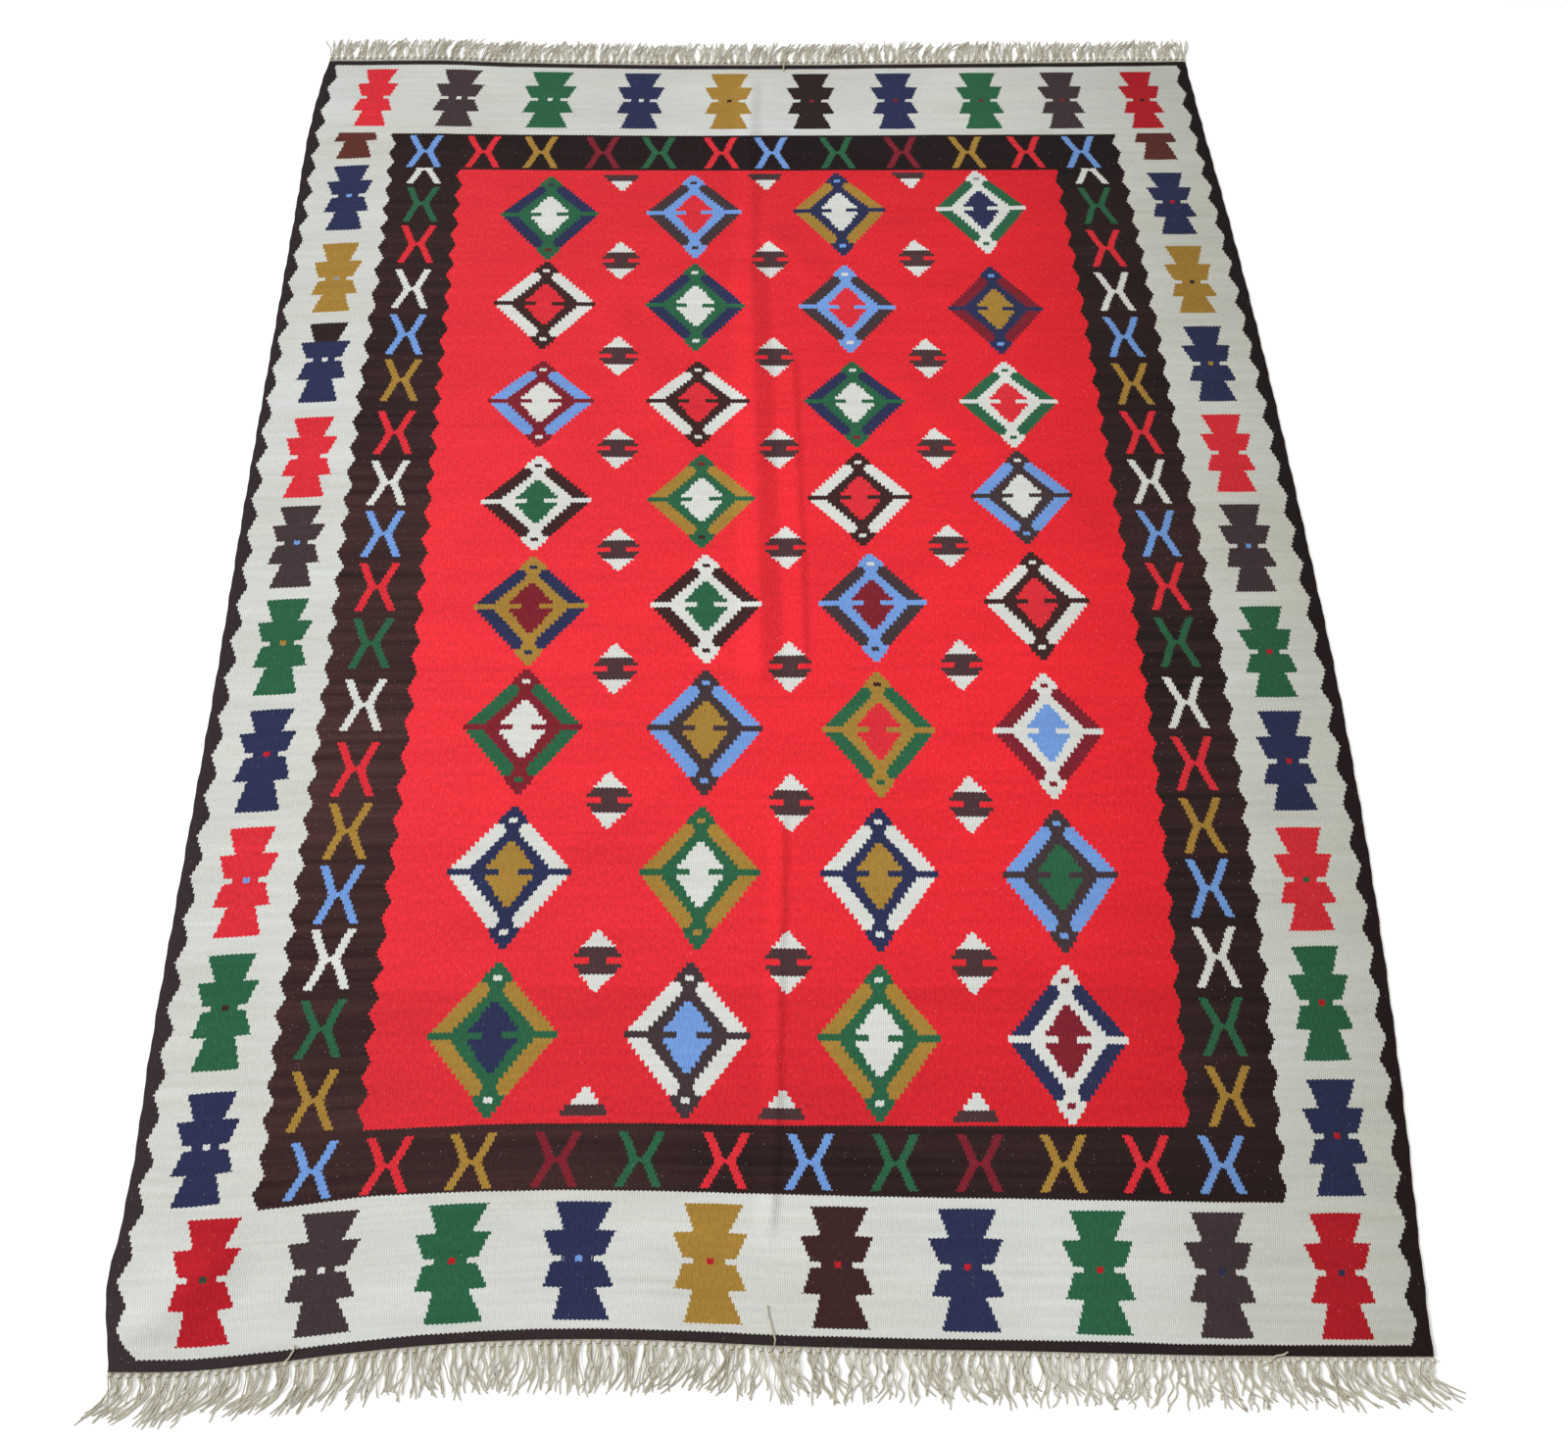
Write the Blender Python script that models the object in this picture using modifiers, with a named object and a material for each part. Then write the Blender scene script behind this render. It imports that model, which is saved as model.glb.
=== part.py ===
"""Flat-woven kilim rug lying on a floor, with a knotted fringe at both ends.

The rug is one woven cloth. It lies flat, but its long sides bow out a little, its two
ends are drawn in unevenly, and a few soft folds from storage stand up from the floor.
Beyond each end lie the knotted warp ends: a row of knots (the strip) with one lock of
yarn for each knot.

Metres, +Z up. +X runs across the rug, +Y along it, from the near end to the far end.
The origin is on the floor, under the centre of the whole rug with its fringes.
"""
import bisect
import math
import random

import bmesh
import bpy

# Driving dimensions of the cloth.
CLOTH_LENGTH = 2.895
END_WIDTH = 2.000
CLOTH_THICKNESS = 0.003

# Driving dimensions of the fringes.
KNOTS_PER_END = 136
KNOT_STRIP_DEPTH = 0.011
FRINGE_THICKNESS = 0.0024
NEAR_LOCK_LENGTH = 0.086
FAR_LOCK_LENGTH = 0.070
LOCK_LENGTH_SPREAD = 0.008
LOCK_ROOT_WIDTH = 0.0085
LOCK_TIP_WIDTH = 0.0050
SEAM_GAP = 0.0003

# How far each long side bows out, along the rug from its near end.
SIDE_BOW_COLUMNS = ("along", "left", "right")
SIDE_BOWS = [
    (0.000, 0.003, 0.000),
    (0.045, 0.008, 0.003),
    (0.115, 0.018, 0.008),
    (0.295, 0.018, 0.023),
    (0.495, 0.022, 0.038),
    (0.795, 0.021, 0.054),
    (1.195, 0.019, 0.062),
    (1.595, 0.022, 0.057),
    (1.995, 0.022, 0.047),
    (2.395, 0.021, 0.029),
    (2.695, 0.020, 0.010),
    (2.825, 0.011, 0.003),
    (2.895, 0.002, 0.000),
]

# How far each end is drawn in, across the rug from its left side (0) to its right (1).
END_DIP_COLUMNS = ("across", "near", "far")
END_DIPS = [
    (0.00, -0.001, 0.002),
    (0.06, -0.001, 0.001),
    (0.13, 0.011, 0.000),
    (0.22, 0.029, 0.008),
    (0.30, 0.037, 0.012),
    (0.39, 0.036, 0.015),
    (0.50, 0.024, 0.015),
    (0.69, 0.011, 0.010),
    (0.85, 0.000, 0.005),
    (1.00, -0.005, 0.000),
]
NEAR_DIP_REACH = 0.5
FAR_DIP_REACH = 0.3

# Soft folds: straight ridges from one place on the cloth to another, in metres from
# its near left corner, with the half width and the height of each.
FOLD_COLUMNS = ("x0", "y0", "x1", "y1", "half_width", "height")
FOLDS = [
    (0.968, 1.24, 0.968, 2.18, 0.038, 0.0100),
    (1.034, 1.32, 1.034, 1.88, 0.026, 0.0060),
    (0.986, 0.22, 1.008, 0.86, 0.026, 0.0040),
    (0.986, 2.16, 0.986, 2.80, 0.030, 0.0040),
    (0.300, 0.64, 1.700, 0.64, 0.040, 0.0040),
    (0.636, 0.85, 0.828, 1.00, 0.045, 0.0045),
    (1.078, 0.98, 1.210, 0.98, 0.040, 0.0040),
    (0.674, 2.11, 0.828, 1.77, 0.060, 0.0050),
    (1.250, 1.93, 1.577, 1.57, 0.060, 0.0050),
    (1.020, 2.33, 1.088, 2.25, 0.045, 0.0055),
    (0.020, 0.03, 0.150, 0.14, 0.060, 0.0110),
]
FOLD_SOFT_END = 0.07
END_KEPT_FLAT = 0.030

# The cloth's grid of faces: even rows and columns, with closer ones at the long folds
# down the middle and at the fold across.
COLUMNS_ACROSS = 26
ROWS_ALONG = 42
MIDDLE_FOLD_X = 1.000
MIDDLE_FOLD_LINES = (-0.068, -0.050, -0.032, -0.014, 0.004, 0.018, 0.034, 0.050, 0.070)
CROSS_FOLD_Y = 0.640
CROSS_FOLD_LINES = (-0.040, -0.020, 0.0, 0.020, 0.040)


def smooth_value(rows, column, at):
    """Reads one column of a table at a place between its rows, on a smooth curve."""
    places = [row[0] for row in rows]
    at = min(max(at, places[0]), places[-1])
    i = min(max(bisect.bisect_right(places, at) - 1, 0), len(rows) - 2)

    def slope(k):
        low, high = max(k - 1, 0), min(k + 1, len(rows) - 1)
        return (rows[high][column] - rows[low][column]) / (places[high] - places[low])

    span = places[i + 1] - places[i]
    t = (at - places[i]) / span
    start, end = rows[i][column], rows[i + 1][column]
    return ((2 * t**3 - 3 * t**2 + 1) * start + (t**3 - 2 * t**2 + t) * span * slope(i)
            + (3 * t**2 - 2 * t**3) * end + (t**3 - t**2) * span * slope(i + 1))


def soft_step(t):
    """Goes smoothly from 0 to 1 as t does."""
    t = min(max(t, 0.0), 1.0)
    return t * t * (3 - 2 * t)


def fold_height(x, y):
    """Height of the cloth's underside above the floor at a place on the cloth."""
    height = 0.0
    for x0, y0, x1, y1, half_width, top in FOLDS:
        length = math.hypot(x1 - x0, y1 - y0)
        along = ((x - x0) * (x1 - x0) + (y - y0) * (y1 - y0)) / length
        aside = abs((x - x0) * (y1 - y0) - (y - y0) * (x1 - x0)) / length
        if aside >= half_width:
            continue
        ends = soft_step(1 + along / FOLD_SOFT_END) * soft_step(1 + (length - along) / FOLD_SOFT_END)
        height = max(height, top * ends * (1 + math.cos(math.pi * aside / half_width)) / 2)
    to_end = min(y, CLOTH_LENGTH - y)
    return height * soft_step((to_end - END_KEPT_FLAT) / END_KEPT_FLAT)


def on_floor(across, along):
    """Where a place on the cloth lies: across from 0 to 1, along in metres."""
    left = -smooth_value(SIDE_BOWS, 1, along)
    right = END_WIDTH + smooth_value(SIDE_BOWS, 2, along)
    near = smooth_value(END_DIPS, 1, across) * math.exp(-along / NEAR_DIP_REACH)
    far = smooth_value(END_DIPS, 2, across) * math.exp((along - CLOTH_LENGTH) / FAR_DIP_REACH)
    return left + across * (right - left), along + near - far


def grid_lines(total, count, fold_at, fold_lines):
    """Places of the grid's lines: even ones, but for those near a fold."""
    close = [fold_at + step for step in fold_lines]
    spacing = total / count
    even = [i * spacing for i in range(count + 1)]
    kept = [at for at in even if not close[0] - spacing / 2 < at < close[-1] + spacing / 2]
    return sorted(kept + close)


def principled(name, color, roughness):
    """One plain finish of woven or twisted yarn."""
    material = bpy.data.materials.new(name)
    material.use_nodes = True
    shader = material.node_tree.nodes["Principled BSDF"]
    shader.inputs["Base Color"].default_value = (*color, 1.0)
    shader.inputs["Roughness"].default_value = roughness
    shader.inputs["Metallic"].default_value = 0.0
    return material


for old in list(bpy.data.objects):
    bpy.data.objects.remove(old, do_unlink=True)
rug_parts = bpy.data.collections.new("kilim_rug")
bpy.context.scene.collection.children.link(rug_parts)
random.seed(7)

columns = [x / END_WIDTH for x in grid_lines(END_WIDTH, COLUMNS_ACROSS, MIDDLE_FOLD_X, MIDDLE_FOLD_LINES)]
rows = grid_lines(CLOTH_LENGTH, ROWS_ALONG, CROSS_FOLD_Y, CROSS_FOLD_LINES)
near_edge = [on_floor(across, 0.0) for across in columns]
far_edge = [on_floor(across, CLOTH_LENGTH) for across in columns]


def edge_y(edge, x):
    """How far along a cloth end lies at x, on the straight runs between its points."""
    for (x0, y0), (x1, y1) in zip(edge, edge[1:]):
        if x <= x1:
            return y0 + (y1 - y0) * (x - x0) / (x1 - x0)
    return edge[-1][1]


def lock_lean(x, end_sign):
    """Sideways drift of the locks' tips, which wanders slowly along an end."""
    if end_sign < 0:
        return 0.018 * math.sin(4.1 * x + 0.6) + 0.008 * math.sin(11.0 * x + 2.0)
    return 0.012 + 0.012 * math.sin(2.3 * x - 1.0)


def comb_outline(edge, end_sign, lock_length):
    """Outline of one fringe seen from above: the knot strip with its locks.

    end_sign is -1 at the near end and 1 at the far end. The strip's inner side follows
    the cloth's edge, and the locks reach outward from its outer side.
    """
    inner = [(x, y + end_sign * SEAM_GAP) for x, y in edge]
    pitch = (edge[-1][0] - edge[0][0]) / KNOTS_PER_END
    outer = []
    for knot in range(KNOTS_PER_END):
        middle = edge[0][0] + (knot + 0.5) * pitch
        length = lock_length + random.uniform(-1, 1) * LOCK_LENGTH_SPREAD
        lean = lock_lean(middle, end_sign) + random.uniform(-0.002, 0.002)
        bend = random.uniform(-0.002, 0.002)
        stations = (
            (0.0, LOCK_ROOT_WIDTH / 2, 0.0),
            (0.5, (LOCK_ROOT_WIDTH + LOCK_TIP_WIDTH) / 4, 0.35 * lean + bend),
            (1.0, LOCK_TIP_WIDTH / 2, lean),
        )
        sides = ([], [])
        for reach, half, drift in stations:
            for side, sign in zip(sides, (-1, 1)):
                x = middle + drift + sign * half
                root_y = edge_y(edge, middle + sign * LOCK_ROOT_WIDTH / 2)
                side.append((x, root_y + end_sign * (KNOT_STRIP_DEPTH + reach * length)))
        outer += sides[0] + sides[1][::-1]
    ends = [(x, y + end_sign * KNOT_STRIP_DEPTH) for x, y in (edge[0], edge[-1])]
    return [ends[0]] + outer + [ends[1]] + inner[::-1]


outlines = {
    "near_fringe": comb_outline(near_edge, -1, NEAR_LOCK_LENGTH),
    "far_fringe": comb_outline(far_edge, 1, FAR_LOCK_LENGTH),
}

# The whole rug's centre on the floor, which becomes the origin.
spread = [point for outline in outlines.values() for point in outline]
spread += [on_floor(side, along) for side in (0.0, 1.0) for along in rows]
centre_x = (min(x for x, _ in spread) + max(x for x, _ in spread)) / 2
centre_y = (min(y for _, y in spread) + max(y for _, y in spread)) / 2

# The woven rug: an open surface on the floor, thickened upwards.
cloth_mesh = bpy.data.meshes.new("woven_rug")
cloth_shape = bmesh.new()
bmesh.ops.create_grid(cloth_shape, x_segments=len(columns) - 1, y_segments=len(rows) - 1, size=1.0)
for vertex in cloth_shape.verts:
    column = round((vertex.co.x + 1) / 2 * (len(columns) - 1))
    row = round((vertex.co.y + 1) / 2 * (len(rows) - 1))
    x, y = on_floor(columns[column], rows[row])
    lift = fold_height(columns[column] * END_WIDTH, rows[row])
    vertex.co = (x - centre_x, y - centre_y, lift)
cloth_shape.to_mesh(cloth_mesh)
cloth_shape.free()
cloth_mesh.shade_smooth()
cloth = bpy.data.objects.new("woven_rug", cloth_mesh)
rug_parts.objects.link(cloth)
cloth_mesh.materials.append(principled("red_wool_weave", (0.70, 0.02, 0.04), 0.9))
thicken = cloth.modifiers.new("cloth_thickness", "SOLIDIFY")
thicken.thickness = CLOTH_THICKNESS
thicken.offset = 1.0

# The two fringes: flat comb outlines, as thick as the knotted warp yarns.
cotton = principled("cotton_warp", (0.62, 0.57, 0.45), 0.85)
for name, outline in outlines.items():
    curve = bpy.data.curves.new(name, "CURVE")
    curve.dimensions = "2D"
    curve.fill_mode = "BOTH"
    curve.extrude = FRINGE_THICKNESS / 2
    spline = curve.splines.new("POLY")
    spline.points.add(len(outline) - 1)
    for point, (x, y) in zip(spline.points, outline):
        point.co = (x - centre_x, y - centre_y, 0.0, 1.0)
    spline.use_cyclic_u = True
    curve.materials.append(cotton)
    fringe = bpy.data.objects.new(name, curve)
    fringe.location.z = FRINGE_THICKNESS / 2
    rug_parts.objects.link(fringe)
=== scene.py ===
"""The looks of a flat-woven kilim rug with a knotted fringe at both ends.

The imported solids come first, as a fixed frame. The cloth, its woven pattern and the two
fringes are then made over them, in the order in which a weaver makes the rug.
"""
import math
import random

import bmesh
import bpy
import numpy as np
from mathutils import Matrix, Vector


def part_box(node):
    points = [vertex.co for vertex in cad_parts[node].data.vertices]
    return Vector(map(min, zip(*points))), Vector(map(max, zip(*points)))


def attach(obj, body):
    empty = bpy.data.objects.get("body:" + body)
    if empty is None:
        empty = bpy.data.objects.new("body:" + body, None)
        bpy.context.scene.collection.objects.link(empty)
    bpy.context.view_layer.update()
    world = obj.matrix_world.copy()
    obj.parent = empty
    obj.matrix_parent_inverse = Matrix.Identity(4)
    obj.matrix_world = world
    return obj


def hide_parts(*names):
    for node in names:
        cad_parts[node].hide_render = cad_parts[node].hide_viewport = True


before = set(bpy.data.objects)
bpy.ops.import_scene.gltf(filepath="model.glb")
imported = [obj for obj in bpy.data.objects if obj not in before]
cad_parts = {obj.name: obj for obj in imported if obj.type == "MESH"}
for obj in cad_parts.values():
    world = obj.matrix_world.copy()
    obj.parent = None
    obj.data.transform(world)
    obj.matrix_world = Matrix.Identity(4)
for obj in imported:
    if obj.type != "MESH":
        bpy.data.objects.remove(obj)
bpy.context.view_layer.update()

# ---------------------------------------------------------------------------------
# How the cloth lies. The rug is loose on the floor: its long sides bow out, its ends
# are drawn in unevenly by the weave, and folds from storage stand up as soft ridges.
# Places on the cloth are in metres from its near left corner, before it was pulled.
# ---------------------------------------------------------------------------------
CLOTH_LENGTH = 2.895
CLOTH_WIDTH = 2.000
CLOTH_THICKNESS = 0.003

# along the rug, how far the left side bows out, how far the right side does
SIDE_BOWS = np.array([
    (0.000, 0.003, 0.000),
    (0.045, 0.011, 0.003),
    (0.115, 0.026, 0.008),
    (0.205, 0.021, 0.015),
    (0.295, 0.018, 0.023),
    (0.495, 0.022, 0.038),
    (0.795, 0.021, 0.054),
    (1.195, 0.019, 0.062),
    (1.595, 0.022, 0.057),
    (1.995, 0.022, 0.047),
    (2.395, 0.021, 0.029),
    (2.695, 0.020, 0.010),
    (2.825, 0.011, 0.003),
    (2.895, 0.002, 0.000),
])
# across the rug (0 to 1), how far the near end is drawn in, how far the far end is
END_DIPS = np.array([
    (0.00, -0.001, 0.002),
    (0.06, -0.001, 0.001),
    (0.13, 0.011, 0.000),
    (0.22, 0.029, 0.008),
    (0.30, 0.037, 0.012),
    (0.39, 0.036, 0.015),
    (0.50, 0.024, 0.015),
    (0.69, 0.011, 0.010),
    (0.85, 0.000, 0.005),
    (1.00, -0.005, 0.000),
])
NEAR_DIP_REACH = 0.5
FAR_DIP_REACH = 0.3

# from x0, y0 to x1, y1 on the cloth, how wide each soft fold is on its left and its right
# when seen along that way, and its height
FOLDS = [
    (0.967, 1.24, 0.967, 2.22, 0.044, 0.041, 0.0105),
    (1.045, 1.26, 1.045, 1.96, 0.036, 0.014, 0.0045),
    (0.998, 0.22, 1.004, 0.88, 0.026, 0.013, 0.0050),
    (0.968, 2.20, 0.984, 2.80, 0.040, 0.026, 0.0050),
    (0.300, 0.64, 1.700, 0.64, 0.040, 0.040, 0.0040),
    (0.636, 0.85, 0.828, 1.00, 0.045, 0.045, 0.0045),
    (1.078, 0.98, 1.210, 0.98, 0.040, 0.040, 0.0040),
    (0.674, 2.11, 0.828, 1.77, 0.060, 0.060, 0.0050),
    (1.250, 1.93, 1.577, 1.57, 0.060, 0.060, 0.0050),
    (1.020, 2.33, 1.088, 2.25, 0.045, 0.045, 0.0055),
    (0.020, 0.03, 0.150, 0.14, 0.060, 0.060, 0.0110),
]
FOLD_SOFT_END = 0.07
END_KEPT_FLAT = 0.030
# how much of a fold's side rises straight, where the rest rises softly
STRAIGHT_PART = 0.6


def smooth_value(table, column, at):
    """One column of a table at places between its rows, on a smooth curve."""
    places, values = table[:, 0], table[:, column]
    at = np.clip(at, places[0], places[-1])
    slopes = np.gradient(values, places)
    i = np.clip(np.searchsorted(places, at, side="right") - 1, 0, len(places) - 2)
    span = places[i + 1] - places[i]
    t = (at - places[i]) / span
    return ((2 * t**3 - 3 * t**2 + 1) * values[i] + (t**3 - 2 * t**2 + t) * span * slopes[i]
            + (3 * t**2 - 2 * t**3) * values[i + 1] + (t**3 - t**2) * span * slopes[i + 1])


def soft_step(t):
    """Goes smoothly from 0 to 1 as t does."""
    t = np.clip(t, 0.0, 1.0)
    return t * t * (3 - 2 * t)


def pulled(x, y):
    """Where places on the cloth lie on the floor, still measured from its corner."""
    across = x / CLOTH_WIDTH
    left = -smooth_value(SIDE_BOWS, 1, y)
    right = CLOTH_WIDTH + smooth_value(SIDE_BOWS, 2, y)
    near = smooth_value(END_DIPS, 1, across) * np.exp(-y / NEAR_DIP_REACH)
    far = smooth_value(END_DIPS, 2, across) * np.exp((y - CLOTH_LENGTH) / FAR_DIP_REACH)
    return left + across * (right - left), y + near - far


def fold_height(x, y):
    """Height of the cloth's underside above the floor."""
    height = np.zeros_like(x)
    for x0, y0, x1, y1, left, right, top in FOLDS:
        length = math.hypot(x1 - x0, y1 - y0)
        along = ((x - x0) * (x1 - x0) + (y - y0) * (y1 - y0)) / length
        aside = ((x - x0) * (y1 - y0) - (y - y0) * (x1 - x0)) / length
        ends = soft_step(1 + along / FOLD_SOFT_END) * soft_step(1 + (length - along) / FOLD_SOFT_END)
        side = np.clip(1 - np.where(aside > 0, aside / right, -aside / left), 0, 1)
        crown = STRAIGHT_PART * side + (1 - STRAIGHT_PART) * soft_step(side)
        height = np.maximum(height, top * ends * crown)
    to_end = np.minimum(y, CLOTH_LENGTH - y)
    return height * soft_step((to_end - END_KEPT_FLAT) / END_KEPT_FLAT)


# The cloth lies where its solid is: both have the same middle.
EDGE_SAMPLES = 400
side_rows = np.linspace(0, CLOTH_LENGTH, EDGE_SAMPLES)
end_columns = np.linspace(0, CLOTH_WIDTH, EDGE_SAMPLES)
left_x = pulled(np.zeros(EDGE_SAMPLES), side_rows)[0].min()
right_x = pulled(np.full(EDGE_SAMPLES, CLOTH_WIDTH), side_rows)[0].max()
near_y = pulled(end_columns, np.zeros(EDGE_SAMPLES))[1].min()
far_y = pulled(end_columns, np.full(EDGE_SAMPLES, CLOTH_LENGTH))[1].max()
rug_low, rug_high = (Vector(corner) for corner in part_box("woven_rug"))
SHIFT_X = (rug_low.x + rug_high.x - left_x - right_x) / 2
SHIFT_Y = (rug_low.y + rug_high.y - near_y - far_y) / 2

# ---------------------------------------------------------------------------------
# The woven pattern, as the weaver counts it. Each motif is charted once, further down, in
# warps across and metres along. Here are the places of its repeats and the yarns of each,
# by name. The warps stand closer together towards the right side.
# ---------------------------------------------------------------------------------
WARPS_PER_METRE = 266.7
MORE_WARPS_TO_THE_RIGHT = 10.67
MIDDLE_X = CLOTH_WIDTH / 2
STUDIO_LIGHT = 1.25

YARNS = {
    "red": (222, 47, 58),
    "crimson": (188, 30, 42),
    "white": (214, 215, 210),
    "dark_brown": (62, 38, 37),
    "black_brown": (47, 34, 33),
    "umber": (76, 53, 55),
    "aubergine": (68, 54, 58),
    "navy": (45, 50, 84),
    "light_blue": (114, 155, 219),
    "green": (44, 99, 68),
    "dark_green": (46, 70, 54),
    "ochre": (166, 128, 56),
    "maroon": (127, 34, 46),
    "rust": (97, 49, 42),
    "grey": (150, 148, 146),
}
BIG_DIAMOND, SMALL_DIAMOND, FIGURE, CROSS, HALF_DIAMOND = 1, 2, 3, 4, 5
# warps across and metres along of the charts
CHARTED = {BIG_DIAMOND: (56, 0.238), SMALL_DIAMOND: (22, 0.097), FIGURE: (28.3, 0.209),
           CROSS: (20.2, 0.112), HALF_DIAMOND: (22, 0.114)}

motifs = []


def linear(color):
    """A colour, as it looks in the studio's light, as the linear colour of the yarn itself."""
    return [((c / 255 + 0.055) / 1.055) ** 2.4 / STUDIO_LIGHT for c in color]


def warps_at(x):
    """How many warps lie to the left of a place on the cloth."""
    return WARPS_PER_METRE * x + MORE_WARPS_TO_THE_RIGHT * x * x


def weave_motif(kind, x, y, above, below, reach, yarns, width=0.0, slope=0.0, top=9.0, turned=False):
    """Notes one motif: its middle, how far it goes above and below it, how far the cloth that is
    its own reaches aside, above and below, its yarns, its width if not the chart's, the slope of
    its wefts, the last row it is woven to, and whether it is turned upside down."""
    aside, own_above, own_below = reach
    warps, height = CHARTED[kind]
    own_warps = warps_at(x + width / 2) - warps_at(x - width / 2) if width else warps
    scales = (warps / own_warps, height / 2 / above, height / 2 / below)
    if turned:
        scales = (scales[0], -scales[2], -scales[1])
    yarns = yarns.split()
    yarns += [yarns[-1]] * (5 - len(yarns))
    rows = (y - own_below, min(y + own_above, top))
    motifs.append((kind, x, y, aside, rows, scales, slope, yarns))


# Eight rows of four big diamonds. A row is sloped where the weft was beaten in unevenly.
DIAMOND_ASIDE = 0.113
DIAMOND_SPARE = 0.004
# middle along the rug, slope, reach above, below, middles across, then the yarns of the
# four diamonds: bars, ring, heart, far dot and near dot
DIAMOND_ROWS = [
    (0.504, -0.008, 0.131, 0.145, (0.544, 0.857, 1.165, 1.471),
     "ochre green navy white, white aubergine light_blue white, ochre green white, navy white maroon"),
    (0.806, -0.010, 0.128, 0.147, (0.546, 0.865, 1.168, 1.473),
     "white navy ochre white, ochre green white ochre, white navy ochre white, "
     "light_blue aubergine green light_blue"),
    (1.097, -0.014, 0.123, 0.140, (0.551, 0.871, 1.173, 1.474),
     "green maroon white white green, light_blue aubergine ochre light_blue, "
     "green ochre red dark_brown green, maroon white light_blue maroon"),
    (1.372, 0.008, 0.114, 0.133, (0.552, 0.869, 1.173, 1.475),
     "navy ochre maroon navy, dark_brown white green dark_brown, "
     "aubergine light_blue maroon white aubergine, white dark_brown red white"),
    (1.622, 0.011, 0.111, 0.118, (0.550, 0.863, 1.166, 1.472),
     "dark_brown white green dark_brown, ochre green white maroon dark_brown, "
     "white dark_brown red white, light_blue aubergine white white light_blue"),
    (1.870, -0.005, 0.105, 0.120, (0.545, 0.855, 1.163, 1.469),
     "light_blue maroon white, white dark_brown red white, navy green white white maroon, "
     "green white red green"),
    (2.130, -0.017, 0.120, 0.127, (0.542, 0.851, 1.163, 1.471),
     "white dark_brown red white, navy green white, aubergine light_blue red white, "
     "maroon navy ochre light_blue"),
    (2.410, 0.019, 0.116, 0.137, (0.542, 0.853, 1.163, 1.470),
     "navy green white aubergine rust, aubergine light_blue red dark_brown aubergine, "
     "ochre navy white light_blue, green white navy grey green"),
]
for y, slope, above, below, places, row_yarns in DIAMOND_ROWS:
    for x, yarns in zip(places, row_yarns.split(", ")):
        reach = (DIAMOND_ASIDE, above + DIAMOND_SPARE, below + DIAMOND_SPARE)
        weave_motif(BIG_DIAMOND, x, y + slope * (x - MIDDLE_X), above, below, reach, yarns, slope=slope)

# Between them rows of three small diamonds: light tips on a dark waist.
# middle along the rug, slope, half height, shift across
SMALL_ROWS = [
    (0.638, -0.006, 0.057, -0.002),
    (0.945, -0.016, 0.057, 0.003),
    (1.230, 0.010, 0.055, 0.004),
    (1.502, 0.011, 0.050, 0.001),
    (1.747, -0.003, 0.051, -0.005),
    (1.988, -0.013, 0.053, -0.007),
    (2.265, 0.009, 0.054, -0.007),
]
SMALL_COLUMNS = (0.705, 1.017, 1.324)
SMALL_REACH = (0.048, 0.062, 0.062)
for y, slope, half_height, shift in SMALL_ROWS:
    for x in SMALL_COLUMNS:
        weave_motif(SMALL_DIAMOND, x + shift, y + slope * (x - MIDDLE_X), half_height, half_height,
                    SMALL_REACH, "white umber", slope=slope)
# Halves of them stand at both ends of the field, as deep as the row leaves room.
# where the dark waist starts, slope, whether it points to the near end, middles across
HALF_ROWS = [
    (0.357, -0.011, False, (0.695, 1.009, 1.318)),
    (2.532, 0.011, True, (0.698, 1.009, 1.324)),
]
HALF_LENGTH = 0.057
for y, slope, turned, places in HALF_ROWS:
    for x in places:
        weave_motif(HALF_DIAMOND, x, y + slope * (x - MIDDLE_X), HALF_LENGTH, HALF_LENGTH, SMALL_REACH,
                    "white umber", turned=turned)

# Crosses in the dark border: a row at each end and a column down each side.
END_CROSS_YARNS = "light_blue red ochre maroon green red light_blue green maroon ochre red light_blue"
SIDE_CROSS_YARNS = ("white green red white light_blue ochre red white light_blue red green white red "
                    "ochre light_blue white green ochre")
# middle along the rug, reach above, below, width, middles across
END_CROSSES = [
    (0.2900, 0.048, 0.045, 0.081,
     (0.278, 0.395, 0.526, 0.659, 0.790, 0.923, 1.055, 1.188, 1.322, 1.453, 1.582, 1.701)),
    (2.5950, 0.053, 0.050, 0.084,
     (0.263, 0.392, 0.518, 0.654, 0.779, 0.914, 1.028, 1.170, 1.316, 1.458, 1.590, 1.713)),
]
CROSS_ASIDE = 0.050
for y, above, below, width, places in END_CROSSES:
    for x, yarn in zip(places, END_CROSS_YARNS.split()):
        weave_motif(CROSS, x, y, above, below, (CROSS_ASIDE, above, below), yarn, width=width)
# middle across, width, then the middles along from the far end to the near end
SIDE_CROSSES = [
    (0.268, 0.082, (2.538, 2.432, 2.310, 2.180, 2.052, 1.928, 1.791, 1.664, 1.540, 1.415, 1.288,
                    1.154, 1.020, 0.896, 0.774, 0.654, 0.530, 0.407)),
    (1.722, 0.080, (2.538, 2.426, 2.297, 2.170, 2.042, 1.914, 1.786, 1.661, 1.534, 1.409, 1.282,
                    1.150, 1.022, 0.897, 0.775, 0.647, 0.523, 0.404)),
]
FAR_CROSS_CUT = 2.5425
# the places of the next crosses if the columns went on
PAST_FAR_CROSS = 0.10
PAST_NEAR_CROSS = 0.11


def side_cross_height(y):
    """Half the height of a cross in a side column: the cut one and the near ones are low."""
    if y > FAR_CROSS_CUT - 0.01:
        return 0.044
    return 0.055 if y > 0.6 else 0.051


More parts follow.
